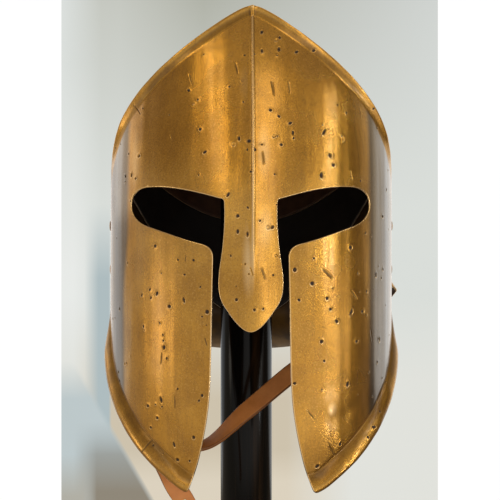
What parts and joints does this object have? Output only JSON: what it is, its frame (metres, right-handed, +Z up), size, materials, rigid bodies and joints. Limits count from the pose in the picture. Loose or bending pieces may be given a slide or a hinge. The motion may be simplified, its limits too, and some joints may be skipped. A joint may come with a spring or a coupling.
{
  "type": "corinthian helmet on a post stand",
  "caption": "Corinthian style sheet brass helmet with eye openings, nose guard and long cheek plates, leather lining and chin strap, on a plain black post stand.",
  "frame": {"origin": "middle of the stand's foot, on the surface it stands on", "axes": "+Z up the post to the crown; the nose guard faces -Y; +X is to the right as seen from the front"},
  "size_m": [0.3, 0.3, 0.4744],
  "materials": {
    "brass": "brushed and aged, with dark pits and scratches",
    "black_leather": "matt black lining leather",
    "brown_leather": "dark brown waxed leather",
    "strap_leather": "orange-brown strap leather",
    "stand_black": "gloss black lacquer"
  },
  "bodies": {
    "root": {"face_plate": "brass", "skull_shell": "brass", "liner_shell": "black_leather", "liner_crown": "brown_leather", "strap_left": "strap_leather", "strap_right": "strap_leather", "buckle_ring": "brass", "stand_base": "stand_black", "stand_post": "stand_black", "stand_cap": "stand_black", "rivet_left_1": "brass", "rivet_right_1": "brass", "rivet_left_2": "brass", "rivet_right_2": "brass", "rivet_left_3": "brass", "rivet_right_3": "brass"}
  },
  "joints": []
}
